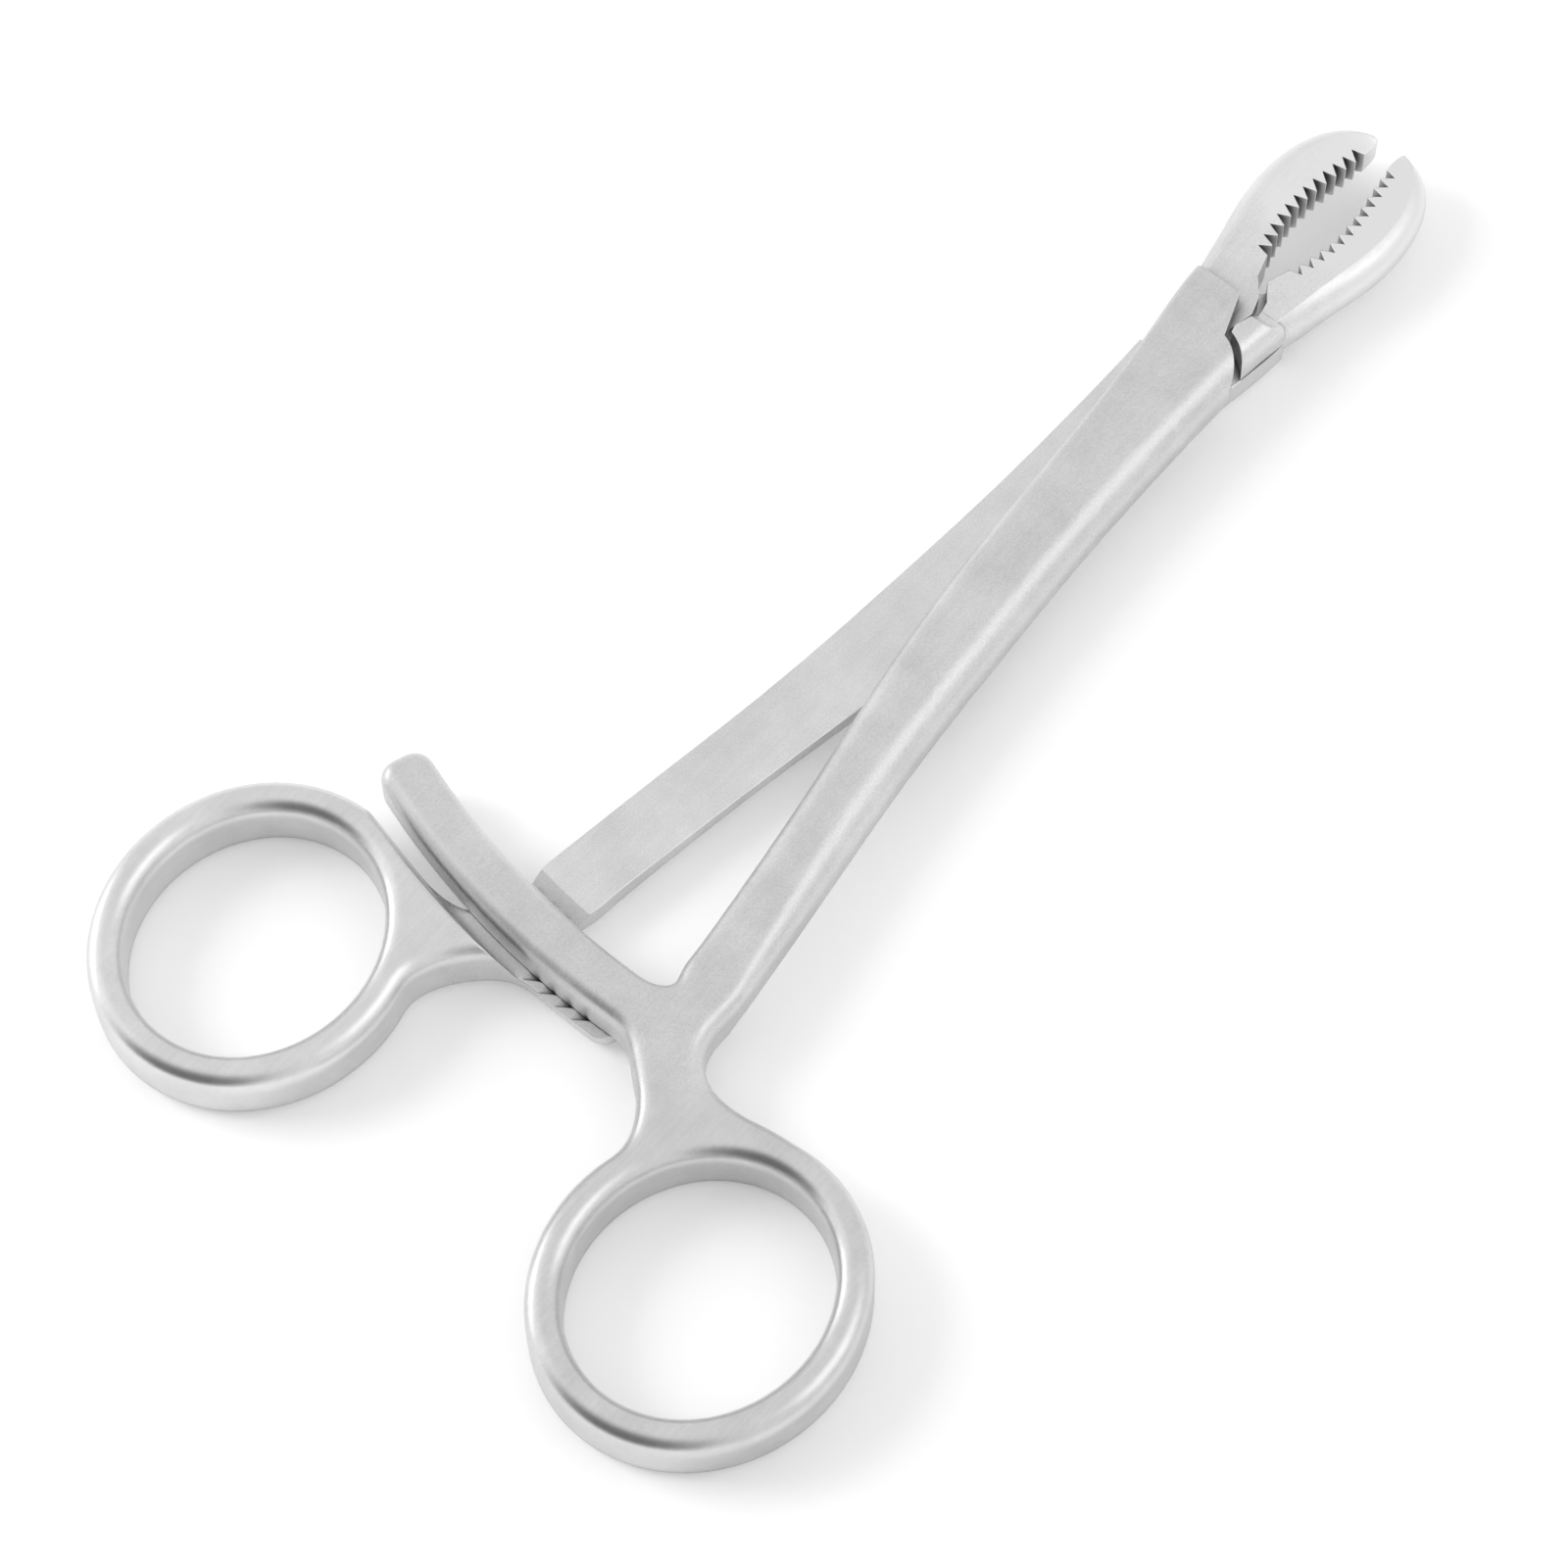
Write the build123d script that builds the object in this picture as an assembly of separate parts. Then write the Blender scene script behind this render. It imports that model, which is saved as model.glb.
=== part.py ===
from build123d import *
from collections import namedtuple
import math
import os

# Bone holding forceps: two ring handled levers crossed in a lap joint on a flush rivet,
# with curved toothed jaws in front and a rack and catch between the shanks behind.
# Frame: origin on the joint's axis at the underside, +X towards the jaw tips, +Z up.
# Each lever is shaped in the upper lever's place. The lower one is then turned over about
# the X axis, so the two have the same form apart from the length of their curved bars.

# Overall
clear = 12.0                # reach of the cutting shapes beyond what they cut
height = 6.6                # thickness of the rings and the joint
lap_gap = 0.05              # running gap between the two lap faces
shank_height = (height - lap_gap) / 2
lap_level = height - shank_height
shank_length = 72.0         # from the joint's axis back to the neck, where the web begins
closing_angle = 4.4         # turn that brings the toothed edges together, degrees

# Rack and catch: bars that curve about the joint's axis, angles measured from -X
rack_inner = shank_length + 4.0
catch_inner = rack_inner + 0.9
bar_width = 4.8
bar_gap = 0.15              # height between the rack and the catch that passes beneath it
bar_root_outer = -2.4
bar_root_inner = -1.9
bar_tip_round = 1.8
catch_height = 2.45
catch_level = height - catch_height
rack_level = catch_height + bar_gap
tooth_pitch = 1.8
tooth_depth = 0.85
tooth_land = 0.25
tooth_run_out = 1.1         # length over which a gullet rises out of the bar's outer edge

# Finger rings
ring_hole_long = 11.7       # half of the hole's long axis
ring_hole_short = 10.5      # half of the hole's short axis
ring_toe = -4.0             # turn of the ring's long axis, degrees
ring_band = 3.05            # width of the band, seen from above
ring_front = -rack_inner - 3.05
ring_side = -11.05
ring_centre = (ring_front - ring_hole_long - ring_band, ring_side - ring_hole_short - ring_band)
ring_hole_round = 1.4
edge_round = 1.5            # rounding of the ring's outside, the web and the bars

# Web between ring, shank and bar: x measured from the rack's inner side
web_outer_points = [(-1.6, -11.4), (-3.7, -13.6), (-4.0, -17.8)]
web_outer_angle = 9.0       # where the web meets the ring, degrees about the ring's centre
web_rear_points = [(-8.4, -9.6), (-6.3, -7.2)]
web_rear_angle = 78.0
crotch_point = (1.4, -5.3)  # x measured from the bar's inner side

# Channel in each web that lets the other lever's bar pass
channel_floor = rack_inner - 0.9
channel_back = catch_inner + bar_width + 0.3
channel_ramp = 1.3

# Shank: sections across it, from the web to the joint
shank_stations = [
    # x, middle y, direction in degrees, width, inner rounding, outer rounding
    (-shank_length, -7.85, 8.0, 6.1, edge_round, edge_round),
    (-shank_length * 0.917, -7.05, 8.6, 6.1, shank_height * 0.58, shank_height * 0.67),
    (-shank_length * 0.806, -5.85, 9.0, 6.2, shank_height * 0.7, shank_height * 0.85),
    (-shank_length * 0.694, -4.6, 8.4, 6.4, shank_height * 0.7, shank_height * 0.91),
    (-shank_length * 0.583, -3.45, 7.0, 6.9, shank_height * 0.64, shank_height * 0.91),
    (-shank_length * 0.444, -2.35, 4.8, 7.5, shank_height * 0.58, shank_height * 0.91),
    (-shank_length * 0.278, -1.5, 2.4, 7.7, shank_height * 0.45, shank_height * 0.91),
    (-shank_length * 0.111, -1.0, 1.6, 8.1, shank_height * 0.3, shank_height * 0.91),
    (2.0, -0.43, 0.5, 9.36, shank_height * 0.28, shank_height * 0.88),
    (9.4, -0.45, 0.0, 11.1, shank_height * 0.28, shank_height * 0.88),
]

# Joint
plate_radius = 5.1          # rounded end of the joint plate, about the joint's axis
plate_corner = (5.0, -1.5)
plate_front_corner = (9.4, 0.2)
shoulder_gap = 0.75         # open gap between a plate's end and the other lever's shoulder
shoulder_radius = plate_radius + shoulder_gap
shoulder_round = 2.0
scoop_front = 8.0           # where the shoulder's face starts to fall to the jaw's face
scoop_run = 1.5
scoop_depth = 0.8
tongue_points = [(6.4, -1.0), (9.0, -1.6), (10.8, -1.0), (12.6, 0.5)]
tongue_height = 1.9
tongue_clearance = 0.12     # left between tongue and jaw when the jaws have met

# Rivet
rivet_radius = 1.7
rivet_end_radius = 2.3
rivet_end_height = 0.6
rivet_clearance = 0.04      # running clearance in the lower lever

# Jaw: sections from the toothed edge to the back
jaw_stations = [
    # toothed edge x, y, back x, y, height at the teeth, height at the back, depth of the rounded back
    (7.0, -0.4, 7.2, 4.3, 3.9, 5.0, 1.0),
    (11.0, 0.1, 10.5, 5.5, 3.8, 4.9, 1.3),
    (14.4, 1.05, 13.7, 6.2, 3.6, 4.8, 1.6),
    (17.5, 1.9, 17.1, 6.95, 3.4, 4.7, 1.8),
    (21.0, 2.3, 21.1, 7.6, 3.2, 4.5, 1.9),
    (24.5, 2.05, 25.3, 7.45, 3.0, 4.3, 1.8),
    (28.0, 1.5, 29.0, 6.3, 2.8, 4.0, 1.6),
    (30.2, 1.25, 31.1, 4.6, 2.6, 3.6, 1.2),
    (31.8, 1.3, 32.0, 2.0, 2.4, 2.9, 0.4),
]
jaw_teeth = 12
jaw_tooth_pitch = 1.25
jaw_tooth_depth = 1.15
jaw_tooth_land = 0.14
jaw_first_tooth = 1.2       # along the toothed edge, from the third station

Bar = namedtuple("Bar", "inner end level first_tooth teeth")
rack = Bar(rack_inner, 19.8, rack_level, -2.2, 15)
catch = Bar(catch_inner, 2.7, catch_level, -4.0, 4)


def on_arc(radius, angle):
    """Point on a circle about the joint's axis, by its angle from -X."""
    turn = math.radians(angle)
    return (-radius * math.cos(turn), radius * math.sin(turn))


def upright_plane(x, y, across):
    """Upright plane at a point, with its own x along the given level direction."""
    return Plane(origin=(x, y, 0), x_dir=(across[0], across[1], 0), z_dir=(across[1], -across[0], 0))


def shank_section(station):
    """Section of the shank: flat on the lap plane, rounded above."""
    x, y, direction, width, inner_round, outer_round = station
    turn = math.radians(direction)
    half = width / 2
    soft = math.sqrt(0.5)
    outer_bend = (-half + outer_round * (1 - soft), height - outer_round * (1 - soft))
    inner_bend = (half - inner_round * (1 - soft), height - inner_round * (1 - soft))
    edges = [
        Line((-half, lap_level), (-half, height - outer_round)),
        ThreePointArc((-half, height - outer_round), outer_bend, (-half + outer_round, height)),
        Line((-half + outer_round, height), (half - inner_round, height)),
        ThreePointArc((half - inner_round, height), inner_bend, (half, height - inner_round)),
        Line((half, height - inner_round), (half, lap_level)),
        Line((half, lap_level), (-half, lap_level)),
    ]
    return upright_plane(x, y, (-math.sin(turn), math.cos(turn))) * make_face(edges)


def web_plan(bar):
    """Outline of ring, web and bar as one smooth line."""
    x, y, direction, width, _, _ = shank_stations[0]
    turn = math.radians(direction)
    along = Vector(math.cos(turn), math.sin(turn))
    side = Vector(-math.sin(turn), math.cos(turn)) * (width / 2)
    inner_start = Vector(x, y) + side
    outer_start = Vector(x, y) - side
    ring_outside = EllipticalCenterArc(
        ring_centre,
        ring_hole_long + ring_band,
        ring_hole_short + ring_band,
        start_angle=web_rear_angle,
        arc_size=360 + web_outer_angle - web_rear_angle,
        rotation=ring_toe,
    )
    bar_outer = bar.inner + bar_width
    outer_side = Spline(
        outer_start,
        *[(x - rack_inner, y) for x, y in web_outer_points],
        ring_outside @ 1,
        tangents=[along * -1, (ring_outside % 1) * -1],
    )
    middle = (bar_root_outer + bar.end) / 2
    bar_outside = ThreePointArc(
        on_arc(bar_outer, bar_root_outer), on_arc(bar_outer, middle), on_arc(bar_outer, bar.end)
    )
    bar_inside = ThreePointArc(
        on_arc(bar.inner, bar.end), on_arc(bar.inner, middle), on_arc(bar.inner, bar_root_inner)
    )
    rear_side = Spline(
        ring_outside @ 0,
        *[(x - rack_inner, y) for x, y in web_rear_points],
        bar_outside @ 0,
        tangents=[(ring_outside % 0) * -1, bar_outside % 0],
    )
    bar_tip = Line(bar_outside @ 1, bar_inside @ 0)
    crotch = Spline(
        bar_inside @ 1,
        (crotch_point[0] - bar.inner, crotch_point[1]),
        inner_start,
        tangents=[bar_inside % 1, along],
    )
    shank_cut = Line(inner_start, outer_start)
    sides = [ring_outside, outer_side, rear_side, bar_outside, bar_tip, bar_inside, crotch, shank_cut]
    plan = make_face(sides)
    tip = Vertex(*on_arc(bar.inner + bar_width / 2, bar.end), 0)
    tip_corners = plan.vertices().sort_by_distance(tip)[:2]
    return fillet(tip_corners, bar_tip_round)


def is_hole_rim(edge):
    """True for the level edges of the finger hole."""
    start = edge @ 0
    level = abs(start.Z - (edge @ 0.5).Z) < 0.01
    place = (start - Vector(*ring_centre, start.Z)).rotate(Axis.Z, -ring_toe)
    return level and abs(math.hypot(place.X / ring_hole_long, place.Y / ring_hole_short) - 1) < 0.01


def web(bar):
    """Ring, web and bar, with the channel for the other lever's bar cut beneath."""
    body = extrude(web_plan(bar), height)
    start_x = shank_stations[0][0]
    rims = body.edges().filter_by(lambda edge: abs(edge.center().Z - height / 2) > height / 2 - 0.01)
    rims = rims.filter_by(lambda edge: edge.center().X < start_x - 0.1)
    body = fillet(rims, edge_round)
    hole = extrude(Ellipse(ring_hole_long, ring_hole_short), height)
    body -= Pos(*ring_centre) * Rot(0, 0, ring_toe) * hole
    hole_rims = body.edges().filter_by(is_hole_rim)
    body = fillet(hole_rims, ring_hole_round)
    profile = Polyline(
        (shank_length - clear, -1),
        (shank_length - clear, lap_level),
        (channel_floor - channel_ramp, lap_level),
        (channel_floor, bar.level),
        (channel_back, bar.level),
        (channel_back + channel_ramp, 0),
        (channel_back + channel_ramp, -1),
        close=True,
    )
    channel = revolve(Plane.XZ * make_face(profile), Axis.Z)
    return body - channel


def bar_gullets(bar):
    """Saw teeth cut into the underside of a bar, steep on the side that holds."""
    width = tooth_pitch - tooth_land
    shape = make_face(Polyline((0, -0.2), (0, 0), (width, tooth_depth), (width, -0.2), close=True))
    step = math.degrees(tooth_pitch / (bar.inner + bar_width / 2))
    bar_outer = bar.inner + bar_width
    cuts = []
    for number in range(bar.teeth):
        angle = bar.first_tooth + number * step
        turn = math.radians(angle)
        along = (math.sin(turn), math.cos(turn))
        sections = []
        for radius, share in ((bar.inner - 0.3, 1), (bar_outer - tooth_run_out, 1), (bar_outer - 0.1, 0.1)):
            x, y = on_arc(radius, angle)
            plane = Plane(origin=(x, y, bar.level), x_dir=(*along, 0), z_dir=(along[1], -along[0], 0))
            sections.append(plane * scale(shape, by=share))
        cuts.append(loft(sections, ruled=True))
    return cuts


def shank():
    """Shank and joint plate, before the plate's end is cut."""
    return loft([shank_section(station) for station in shank_stations])


def plate_end():
    """Room in front of the joint plate on the side of the other lever's jaw."""
    region = make_face(
        Polyline(
            (1.5, -clear),
            (clear, -clear),
            (clear, plate_front_corner[1]),
            plate_front_corner,
            plate_corner,
            (1.5, plate_corner[1]),
            close=True,
        )
    )
    region -= Circle(plate_radius)
    return extrude(Pos(0, 0, lap_level - 1) * region, height)


def neighbour_room():
    """Room that the other lever's plate corner and tongue take up once the jaws have met."""
    turn = math.radians(closing_angle)
    edge = []
    for x, y in (plate_corner, *tongue_points):
        edge.append((x * math.cos(turn) + y * math.sin(turn), x * math.sin(turn) - y * math.cos(turn)))
    outline = Polyline((0, -8), (0, edge[0][1]), *edge, (edge[-1][0], -8), close=True)
    return offset(make_face(outline), tongue_clearance)


def shoulder():
    """Lower half of the jaw's root, in front of the other lever's plate."""
    sections = []
    bend = shoulder_round * (1 - math.sqrt(0.5))
    for x, y, _, width, _, _ in shank_stations[-2:]:
        side = y + width / 2
        outline = [
            Line((0, 0), (side - shoulder_round, 0)),
            ThreePointArc((side - shoulder_round, 0), (side - bend, bend), (side, shoulder_round)),
            Line((side, shoulder_round), (side, lap_level)),
            Line((side, lap_level), (0, lap_level)),
            Line((0, lap_level), (0, 0)),
        ]
        sections.append(upright_plane(x, 0, (0, 1)) * make_face(outline))
    room = extrude(Circle(shoulder_radius) + neighbour_room(), height)
    scoop_radius = (scoop_run ** 2 + scoop_depth ** 2) / (2 * scoop_depth)
    scoop = Cylinder(scoop_radius, 4 * height, rotation=(90, 0, 0))
    return loft(sections) - room - Pos(scoop_front + scoop_run, 0, scoop_depth - scoop_radius) * scoop


def tongue():
    """Step of the plate that reaches over the other jaw's root in the crotch."""
    outline = Polyline((5.0, 0.8), plate_corner, *tongue_points, (9.0, 2.0), close=True)
    return extrude(Pos(0, 0, lap_level) * make_face(outline), tongue_height)


def jaw_section(station):
    """Section of the jaw: thin at the teeth, rounded at the back."""
    x, y, back_x, back_y, tooth_height, back_height, back_round = station
    reach = Vector(back_x - x, back_y - y)
    across = reach.normalized()
    shoulder_at = reach.length - back_round
    middle = height / 2
    thin = tooth_height / 2
    thick = back_height / 2
    edges = [
        Line((0, middle - thin), (shoulder_at, middle - thick)),
        ThreePointArc((shoulder_at, middle - thick), (reach.length, middle), (shoulder_at, middle + thick)),
        Line((shoulder_at, middle + thick), (0, middle + thin)),
        Line((0, middle + thin), (0, middle - thin)),
    ]
    return upright_plane(x, y, (across.X, across.Y)) * make_face(edges)


def jaw():
    """Curved jaw with its row of teeth."""
    body = loft([jaw_section(station) for station in jaw_stations])
    body -= extrude(Pos(0, 0, -1) * neighbour_room(), lap_level + 1)
    crest = Spline(*[station[:2] for station in jaw_stations[2:]])
    half = (jaw_tooth_pitch - jaw_tooth_land) / 2
    slope = jaw_tooth_depth / half
    notch = make_face(
        Polyline((-half - 0.4 / slope, -0.4), (half + 0.4 / slope, -0.4), (0, jaw_tooth_depth), close=True)
    )
    for number in range(jaw_teeth):
        place = (jaw_first_tooth + number * jaw_tooth_pitch) / crest.length
        point = crest @ place
        heading = crest % place
        turn = math.degrees(math.atan2(heading.Y, heading.X))
        body -= extrude(Pos(point.X, point.Y, -1) * Rot(0, 0, turn) * notch, height + 2)
    return body


def lever(bar):
    """One whole lever without its rivet hole."""
    body = web(bar) + (shank() - plate_end()) + shoulder() + tongue() + jaw()
    for gullet in bar_gullets(bar):
        body -= gullet
    return body


def rivet(growth=0.0):
    """Rivet through both levers, spread at both ends and ground flush."""
    profile = Polyline(
        (0, 0),
        (rivet_end_radius + growth, 0),
        (rivet_radius + growth, rivet_end_height),
        (rivet_radius + growth, height - rivet_end_height),
        (rivet_end_radius + growth, height),
        (0, height),
        close=True,
    )
    return revolve(Plane.XZ * make_face(profile), Axis.Z)


def upper_lever():
    return lever(rack) - rivet()


def lower_lever():
    body = lever(catch)
    return Pos(0, 0, height) * Rot(180, 0, 0) * body - rivet(rivet_clearance)


if __name__ == "__main__":
    os.makedirs("parts", exist_ok=True)
    export_step(upper_lever(), "parts/upper_lever.step")
    export_step(lower_lever(), "parts/lower_lever.step")
    export_step(rivet(), "parts/pivot_pin.step")
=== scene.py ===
import math

import bpy
from mathutils import Matrix, Vector

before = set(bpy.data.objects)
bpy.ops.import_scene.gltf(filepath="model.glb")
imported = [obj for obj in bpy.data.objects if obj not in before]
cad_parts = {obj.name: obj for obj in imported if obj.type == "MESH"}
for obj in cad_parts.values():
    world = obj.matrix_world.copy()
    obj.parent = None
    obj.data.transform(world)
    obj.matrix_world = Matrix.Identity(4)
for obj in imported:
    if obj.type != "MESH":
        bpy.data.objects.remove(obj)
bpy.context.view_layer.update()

scene = bpy.context.scene
scene.view_settings.view_transform = "Standard"

# Places and sizes on the forceps, in metres
RING_CENTRE = (-0.0938, 0.0246, 0.0)
RING_POLISH_INNER = 0.0150
RING_POLISH_OUTER = 0.0200
RIVET_INNER = 0.0024
RIVET_OUTER = 0.0030
JAW_ROOT = 0.007
JAW_TIP = 0.026
EDGE_BREAK = 0.00016
RING_ROUNDING = 0.0016
RECESS_REACH = 0.0018
PLAN_ONLY = (1, 1, 0)

# How the surface is read: cosine between the true and the eased normal, and share of open sky
EDGE_STARTS, EDGE_FULL = 0.99, 0.88
OPEN_STARTS, OPEN_FULL = 0.60, 0.85
# Painted shade in recesses is full at the first share of open sky and gone at the second
PAINTED_SHADE_FULL, PAINTED_SHADE_ENDS = 0.45, 0.90
SHADER_SAMPLES = 8

# Steel's colour. The jaws and the lower lever are lighter because the photograph is brighter there
# Painted light: the jaws and the lower lever are lighter. Edges are lighter as wear and as a
# painted highlight. Recesses are darker as painted shade.
STEEL_DULL = 0.68
STEEL_BRIGHT = 0.82
# Edge colour, lighter partly as wear and partly as a painted highlight
EDGE_WEAR_AND_HIGHLIGHT = 0.88
# Painted shade: the darkest factor deep in recesses
RECESS_PAINTED_SHADE = 0.16
STEEL_LIMIT = 0.93
# Painted light added to the jaws, growing from JAW_ROOT to JAW_TIP
JAW_PAINTED_LIGHT = 0.20
# Painted light: the whole lower lever is made this much lighter
LOWER_LEVER_PAINTED_LIGHT = 0.07
LINE_TINT = 0.02
BEAD_TINT = 0.055

# Steel's roughness
SATIN_SMOOTH = 0.33
SATIN_COARSE = 0.44
RING_ROUGHNESS = 0.23
WORN_ROUGHNESS = 0.24
LINE_ROUGHNESS = 0.04

# Steel's patterns, in repeats per metre, and their relief
BEAD_SCALE = 5200.0
CLOUD_SCALE = 170.0
LINE_SCALES = (90.0, 2600.0, 2600.0)
NOISE_LOW, NOISE_HIGH = 0.3, 0.7
CLOUD_LOW, CLOUD_HIGH = 0.25, 0.75
NOISE_MIDDLE = 0.5
RING_SMOOTHING = 0.7
LINE_RELIEF = {"Strength": 0.20, "Distance": 0.000012}
BEAD_RELIEF = {"Strength": 0.6, "Distance": 0.00002}

# Light tent: direction, inner and outer angle in degrees, value at the centre and beyond.
# The strip is low, so that the rings mirror it and the flat faces don't
TENT_LEVEL = 0.79
LEFT_PANEL = ((-0.40, 0.78, 0.45), 14, 42, 0.20, 0.0)
LEFT_STRIP = ((-0.22, 0.95, 0.12), 8, 24, 0.90, 0.0)
RIGHT_PANEL = ((0.38, -0.55, 0.74), 5, 24, 0.60, 0.0)
OPENING = ((-0.90, -0.10, 0.40), 12, 52, 0.22, 1.0)

# Lamp that casts the shadow
SOFTBOX_PLACE = (-0.38, 0.62, 0.48)
SOFTBOX_AIM = (-0.05, 0, 0)
SOFTBOX_SIDE = 0.4
SOFTBOX_POWER = 2.9

# Table
TABLE_HALF_SIDE = 3.0
TABLE_CENTRE = (-0.05, 0, -0.00002)
TABLE_WHITE = 0.93
TABLE_ROUGHNESS = 0.9
TABLE_SPECULAR = 0.1
TABLE_LIFT = 0.21
TABLE_LIFT_IN_STEEL = 0.06
WHITE = (1, 1, 1, 1)

# Camera, in metres, degrees and millimetres
CAMERA_AIM = (-0.0536, 0.0005, 0.0033)
CAMERA_PLACE = (-0.1935, -0.1211, 0.3578)
CAMERA_ROLL = -0.88
CAMERA_LENS = 107.33
CAMERA_SENSOR = 36.0

NODE_SETTINGS = (
    "operation", "data_type", "interpolation_type", "samples", "only_local",
)

# A Mix node has one set of sockets for each data type; these are the ones for vectors
MIX_SHARE, MIX_VECTOR_A, MIX_VECTOR_B, MIX_VECTOR_RESULT = 0, 4, 5, 1


def node_tree(name):
    """A new material with one Principled shader, its node tree and that shader."""
    material = bpy.data.materials.new(name)
    material.use_nodes = True
    tree = material.node_tree
    tree.nodes.clear()
    out = tree.nodes.new("ShaderNodeOutputMaterial")
    shader = tree.nodes.new("ShaderNodeBsdfPrincipled")
    tree.links.new(shader.outputs["BSDF"], out.inputs["Surface"])
    return material, tree, shader


def add(tree, kind, *sources, **settings):
    """Add one node; sources are linked to its inputs in order, settings fill the named ones."""
    node = tree.nodes.new(kind)
    for key, value in settings.items():
        if key in NODE_SETTINGS:
            setattr(node, key, value)
        else:
            node.inputs[key.replace("_", " ")].default_value = value
    for socket, source in zip(node.inputs, sources):
        if source is not None:
            tree.links.new(source, socket)
    return node


def ramp(tree, value, low, high, out_low, out_high, smooth=False):
    """Carry a value from the span low..high to out_low..out_high."""
    kind = "SMOOTHSTEP" if smooth else "LINEAR"
    span = add(tree, "ShaderNodeMapRange", value, interpolation_type=kind)
    span.inputs["From Min"].default_value = low
    span.inputs["From Max"].default_value = high
    span.inputs["To Min"].default_value = out_low
    span.inputs["To Max"].default_value = out_high
    return span.outputs["Result"]


def mixed(tree, share, start, finish):
    """Mix two values; each may be a socket or a number."""
    mix = add(tree, "ShaderNodeMix", share, data_type="FLOAT")
    for name, value in (("A", start), ("B", finish)):
        if isinstance(value, (int, float)):
            mix.inputs[name].default_value = value
        else:
            tree.links.new(value, mix.inputs[name])
    return mix.outputs["Result"]


def arithmetic(tree, operation, first, second=None):
    """One sum on two values; the second may be a number."""
    node = add(tree, "ShaderNodeMath", first, operation=operation)
    if isinstance(second, (int, float)):
        node.inputs[1].default_value = second
    elif second is not None:
        tree.links.new(second, node.inputs[1])
    return node.outputs[0]


def swing(tree, noise, size):
    """Carry a noise to the span from -size to size."""
    return ramp(tree, noise, NOISE_LOW, NOISE_HIGH, -size, size)


def ring_share(tree, place):
    """1 on both finger rings, falling to 0 on the webs that carry them."""
    apart = add(tree, "ShaderNodeSeparateXYZ", place)
    side = arithmetic(tree, "ABSOLUTE", apart.outputs["Y"])
    plan = add(tree, "ShaderNodeCombineXYZ", apart.outputs["X"], side)
    reach = add(tree, "ShaderNodeVectorMath", plan.outputs[0], operation="DISTANCE")
    reach.inputs[1].default_value = RING_CENTRE
    distance = reach.outputs["Value"]
    return ramp(tree, distance, RING_POLISH_INNER, RING_POLISH_OUTER, 1.0, 0.0, smooth=True)


def away_from_rivet(tree, place):
    """0 over the rivet, ground flush so that it can't be told from the lever, and 1 elsewhere."""
    plan = add(tree, "ShaderNodeVectorMath", place, operation="MULTIPLY")
    plan.inputs[1].default_value = PLAN_ONLY
    reach = add(tree, "ShaderNodeVectorMath", plan.outputs[0], operation="LENGTH")
    return ramp(tree, reach.outputs["Value"], RIVET_INNER, RIVET_OUTER, 0.0, 1.0)


def eased_normal(tree, place, rings, in_the_open):
    """The normal with edges slightly broken and rings rounder, and how much it is broken."""
    surface = add(tree, "ShaderNodeNewGeometry").outputs["Normal"]
    radius = ramp(tree, rings, 0.0, 1.0, EDGE_BREAK, RING_ROUNDING)
    rounding = add(tree, "ShaderNodeBevel", radius, samples=SHADER_SAMPLES)
    eased = add(tree, "ShaderNodeMix", data_type="VECTOR")
    share = arithmetic(tree, "MULTIPLY", away_from_rivet(tree, place), in_the_open)
    tree.links.new(share, eased.inputs[MIX_SHARE])
    tree.links.new(surface, eased.inputs[MIX_VECTOR_A])
    tree.links.new(rounding.outputs["Normal"], eased.inputs[MIX_VECTOR_B])
    normal = eased.outputs[MIX_VECTOR_RESULT]
    agree = add(tree, "ShaderNodeVectorMath", normal, surface, operation="DOT_PRODUCT")
    return normal, ramp(tree, agree.outputs["Value"], EDGE_STARTS, EDGE_FULL, 0.0, 1.0)


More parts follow.
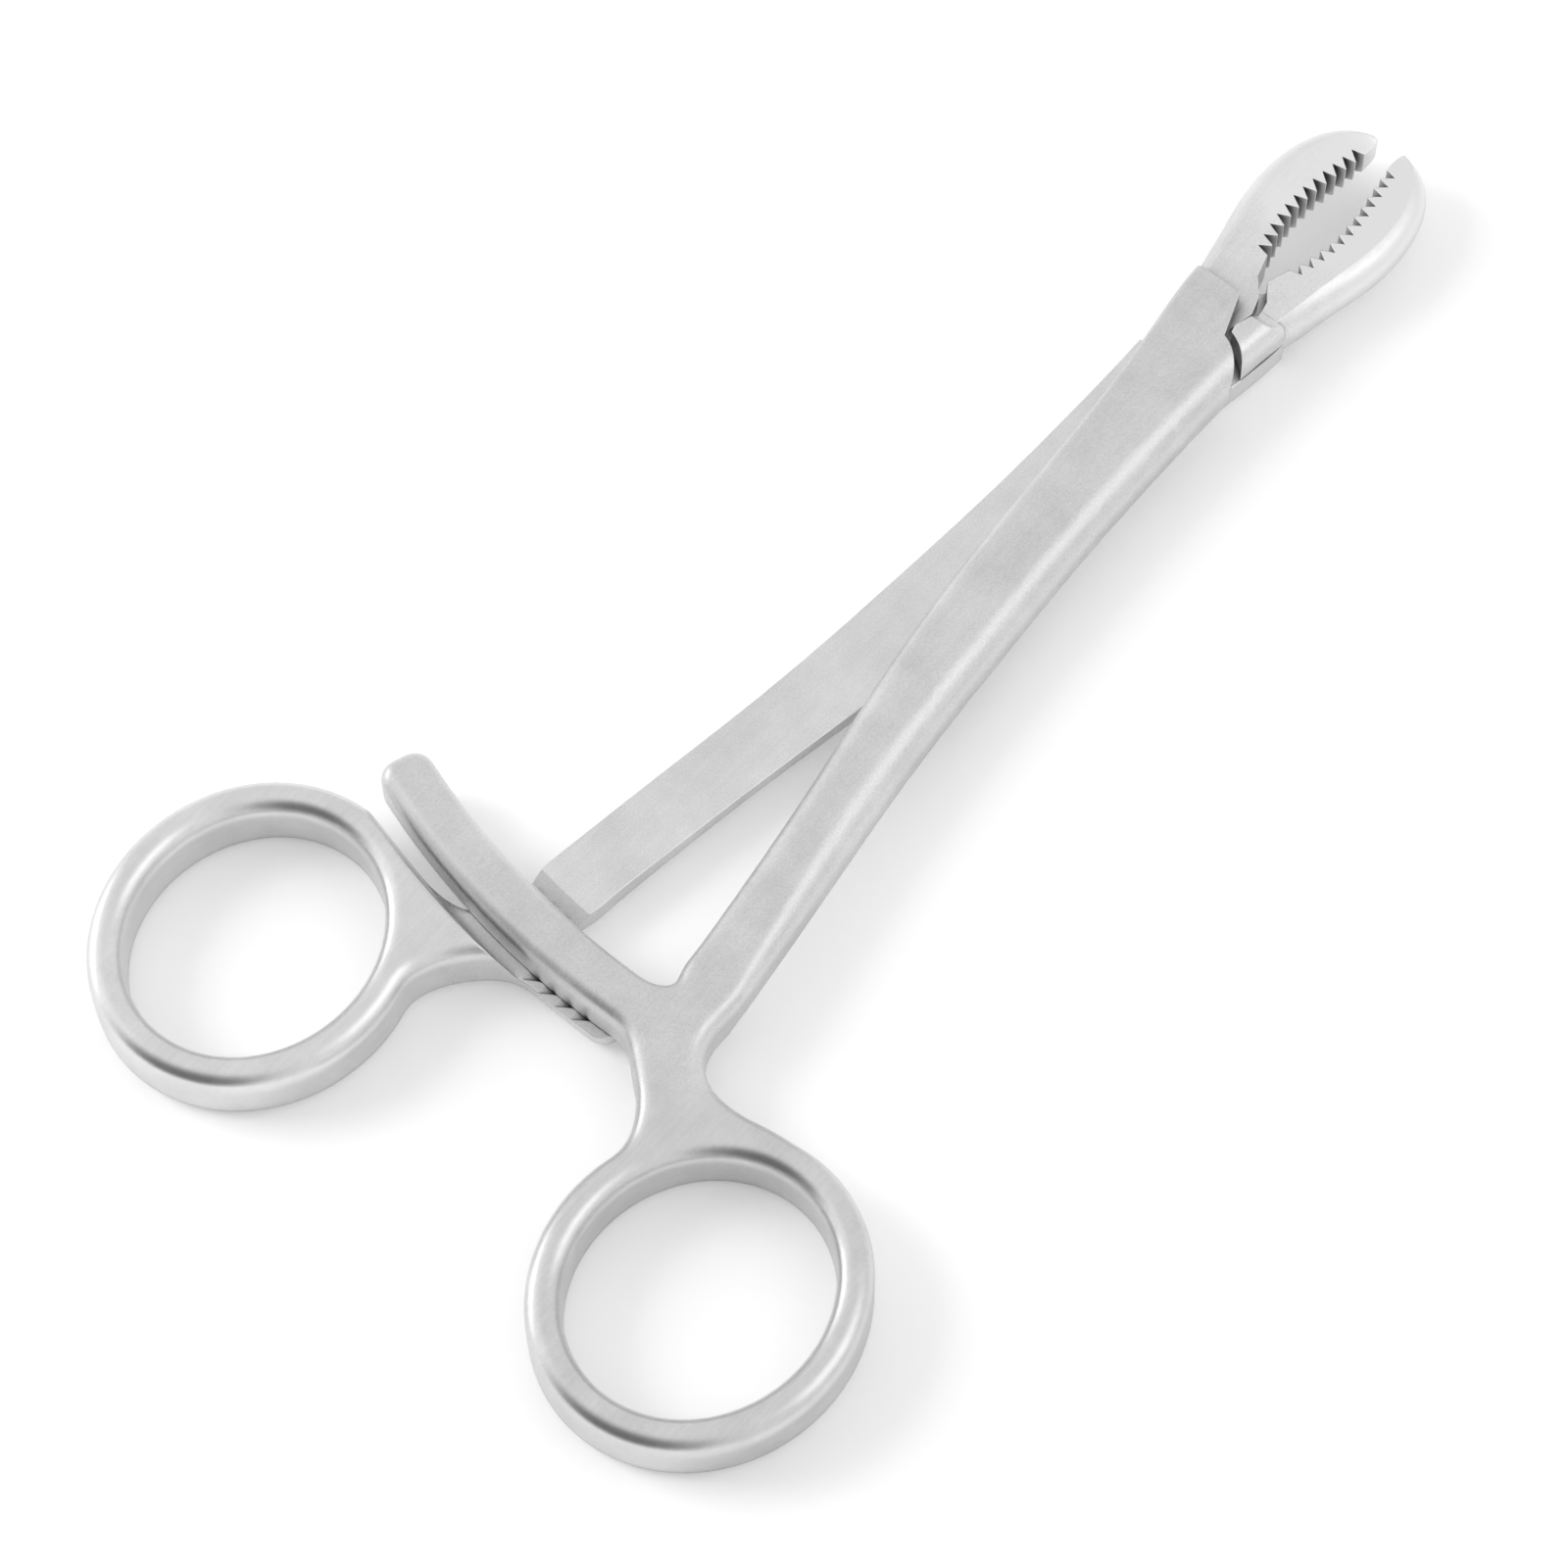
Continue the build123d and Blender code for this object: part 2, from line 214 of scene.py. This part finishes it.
def forged_steel(name, lever_painted_light=0.0):
    """Stainless steel: ground along X, beaded satin, rings polished, edges worn and lighter as a
    painted highlight, painted light on the jaws and painted shade in the gullets; an added
    lightness can lighten the whole lever as painted light.
    """
    material, tree, shader = node_tree(name)
    links = tree.links
    place = tree.nodes.new("ShaderNodeTexCoord").outputs["Object"]
    rings = ring_share(tree, place)
    recess = add(
        tree, "ShaderNodeAmbientOcclusion",
        Distance=RECESS_REACH, samples=SHADER_SAMPLES, only_local=True,
    )
    openness = recess.outputs["AO"]
    in_the_open = ramp(tree, openness, OPEN_STARTS, OPEN_FULL, 0.0, 1.0)
    rounded, broken = eased_normal(tree, place, rings, in_the_open)
    edges = arithmetic(tree, "MULTIPLY", broken, arithmetic(tree, "SUBTRACT", in_the_open, rings))
    edges = arithmetic(tree, "MAXIMUM", edges, 0.0)

    # Patterns: beads, slow clouds of sheen, and grinding lines along the levers
    beads = add(tree, "ShaderNodeTexNoise", place, Scale=BEAD_SCALE, Detail=2.0, Roughness=0.6)
    smoothing = arithmetic(tree, "MULTIPLY", rings, RING_SMOOTHING)
    bead = mixed(tree, smoothing, beads.outputs["Fac"], NOISE_MIDDLE)
    clouds = add(tree, "ShaderNodeTexNoise", place, Scale=CLOUD_SCALE, Detail=4.0, Roughness=0.6)
    along = add(tree, "ShaderNodeMapping", place, Scale=LINE_SCALES)
    lines = add(tree, "ShaderNodeTexNoise", along.outputs[0], Scale=1.0, Detail=3.0, Roughness=0.65)
    cloud = clouds.outputs["Fac"]
    line = lines.outputs["Fac"]

    # Roughness: satin, smoother on the rings and along worn edges
    satin = ramp(tree, cloud, NOISE_LOW, NOISE_HIGH, SATIN_SMOOTH, SATIN_COARSE)
    ground = arithmetic(tree, "ADD", satin, swing(tree, line, LINE_ROUGHNESS))
    polished = mixed(tree, rings, ground, RING_ROUGHNESS)
    worn = mixed(tree, edges, polished, WORN_ROUGHNESS)
    links.new(worn, shader.inputs["Roughness"])

    # Colour: light grey with a faint cloud, painted light on the jaws, edges lighter as wear and as
    # a painted highlight, painted shade deep in the gullets
    # The body grey carries any painted light given to the whole lever
    body = ramp(tree, cloud, CLOUD_LOW, CLOUD_HIGH, STEEL_DULL + lever_painted_light, STEEL_BRIGHT + lever_painted_light)
    streaked = arithmetic(tree, "ADD", body, swing(tree, line, LINE_TINT))
    grained = arithmetic(tree, "ADD", streaked, swing(tree, bead, BEAD_TINT))
    forward = add(tree, "ShaderNodeSeparateXYZ", place).outputs["X"]
    # Painted light: the jaws grow lighter towards their tips, where more light falls on them
    painted_light_towards_tips = ramp(tree, forward, JAW_ROOT, JAW_TIP, 0.0, JAW_PAINTED_LIGHT, smooth=True)
    jaws = arithmetic(tree, "ADD", grained, painted_light_towards_tips)
    # Edges are lighter, partly as wear and partly as a painted highlight
    bright = mixed(tree, edges, arithmetic(tree, "MINIMUM", jaws, STEEL_LIMIT), EDGE_WEAR_AND_HIGHLIGHT)
    # Painted shade: darker where little open sky reaches, deep in the gullets and other recesses
    painted_recess_shade = ramp(tree, openness, PAINTED_SHADE_FULL, PAINTED_SHADE_ENDS, RECESS_PAINTED_SHADE, 1.0)
    grey = arithmetic(tree, "MULTIPLY", bright, painted_recess_shade)
    colour = add(tree, "ShaderNodeCombineColor", grey, grey, grey)
    links.new(colour.outputs[0], shader.inputs["Base Color"])
    shader.inputs["Metallic"].default_value = 1.0

    # Relief: shallow grinding lines, none on the rings, under beads that are faint there
    height = mixed(tree, rings, line, NOISE_MIDDLE)
    furrows = add(tree, "ShaderNodeBump", **LINE_RELIEF)
    links.new(height, furrows.inputs["Height"])
    links.new(rounded, furrows.inputs["Normal"])
    bump = add(tree, "ShaderNodeBump", **BEAD_RELIEF)
    links.new(bead, bump.inputs["Height"])
    links.new(furrows.outputs[0], bump.inputs["Normal"])
    links.new(bump.outputs[0], shader.inputs["Normal"])
    return material


def softbox():
    """One square lamp for the shadow; the steel mirrors the tent and not the lamp."""
    light = bpy.data.lights.new("left_softbox", "AREA")
    light.shape = "SQUARE"
    light.size = SOFTBOX_SIDE
    light.energy = SOFTBOX_POWER
    lamp = bpy.data.objects.new("left_softbox", light)
    scene.collection.objects.link(lamp)
    back = (Vector(SOFTBOX_PLACE) - Vector(SOFTBOX_AIM)).normalized()
    lamp.rotation_mode = "QUATERNION"
    lamp.rotation_quaternion = back.to_track_quat("Z", "Y")
    lamp.location = SOFTBOX_PLACE
    lamp.visible_glossy = False


def table_top():
    """A white table that keeps the soft shadow; what looks at it sees plain white."""
    size = TABLE_HALF_SIDE
    mesh = bpy.data.meshes.new("table_top")
    corners = [(-size, -size, 0), (size, -size, 0), (size, size, 0), (-size, size, 0)]
    mesh.from_pydata(corners, [], [(0, 1, 2, 3)])
    floor = bpy.data.objects.new("table_top", mesh)
    floor.location = TABLE_CENTRE
    scene.collection.objects.link(floor)
    material, tree, shader = node_tree("white_table")
    shader.inputs["Base Color"].default_value = (TABLE_WHITE, TABLE_WHITE, TABLE_WHITE, 1)
    shader.inputs["Roughness"].default_value = TABLE_ROUGHNESS
    shader.inputs["Specular IOR Level"].default_value = TABLE_SPECULAR
    ray = tree.nodes.new("ShaderNodeLightPath").outputs
    seen = arithmetic(tree, "MAXIMUM", ray["Is Camera Ray"], ray["Is Transmission Ray"])
    lift = arithmetic(tree, "MULTIPLY", seen, TABLE_LIFT)
    mirrored = arithmetic(tree, "MULTIPLY", ray["Is Glossy Ray"], TABLE_LIFT_IN_STEEL)
    shader.inputs["Emission Color"].default_value = WHITE
    tree.links.new(arithmetic(tree, "ADD", lift, mirrored), shader.inputs["Emission Strength"])
    mesh.materials.append(material)


def camera():
    """The photograph's view: from above, over the upper lever's ring."""
    aim = Vector(CAMERA_AIM)
    place = Vector(CAMERA_PLACE)
    roll = math.radians(CAMERA_ROLL)
    back = (place - aim).normalized()
    right = Vector((0, 0, 1)).cross(back).normalized()
    up = back.cross(right)
    turned_right = right * math.cos(roll) + up * math.sin(roll)
    turned_up = up * math.cos(roll) - right * math.sin(roll)
    data = bpy.data.cameras.new("camera")
    data.sensor_width = CAMERA_SENSOR
    data.lens = CAMERA_LENS
    data.clip_start = 0.01
    data.clip_end = 20.0
    eye = bpy.data.objects.new("camera", data)
    turn = Matrix((turned_right, turned_up, back)).transposed()
    eye.matrix_world = Matrix.Translation(place) @ turn.to_4x4()
    scene.collection.objects.link(eye)
    scene.camera = eye


def light_tent():
    """A white tent: brighter panels on the +Y and -Y sides, and a dark opening on the -X side."""
    world = bpy.data.worlds.new("light_tent")
    world.use_nodes = True
    tree = world.node_tree
    direction = tree.nodes.new("ShaderNodeTexCoord").outputs["Generated"]

    def patch(towards, inner, outer, centre_value, edge_value):
        aim = add(tree, "ShaderNodeVectorMath", direction, operation="DOT_PRODUCT")
        aim.inputs[1].default_value = Vector(towards).normalized()
        near = math.cos(math.radians(inner))
        far = math.cos(math.radians(outer))
        return ramp(tree, aim.outputs["Value"], far, near, edge_value, centre_value, smooth=True)

    strength = arithmetic(tree, "ADD", patch(*LEFT_PANEL), TENT_LEVEL)
    for panel in (LEFT_STRIP, RIGHT_PANEL):
        strength = arithmetic(tree, "ADD", strength, patch(*panel))
    strength = arithmetic(tree, "MULTIPLY", strength, patch(*OPENING))
    ray = tree.nodes.new("ShaderNodeLightPath").outputs
    plain = arithmetic(tree, "MAXIMUM", ray["Is Camera Ray"], ray["Is Transmission Ray"])
    background = tree.nodes["Background"]
    background.inputs["Color"].default_value = WHITE
    tree.links.new(mixed(tree, plain, strength, 1.0), background.inputs["Strength"])
    scene.world = world


steels = {
    "upper_lever": forged_steel("upper_lever_steel"),
    # The lower lever's copy of the steel is lighter as painted light
    "lower_lever": forged_steel("lower_lever_steel", lever_painted_light=LOWER_LEVER_PAINTED_LIGHT),
    "pivot_pin": forged_steel("rivet_steel"),
}
for node, material in steels.items():
    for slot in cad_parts[node].material_slots:
        slot.material = material

table_top()
camera()
light_tent()
softbox()
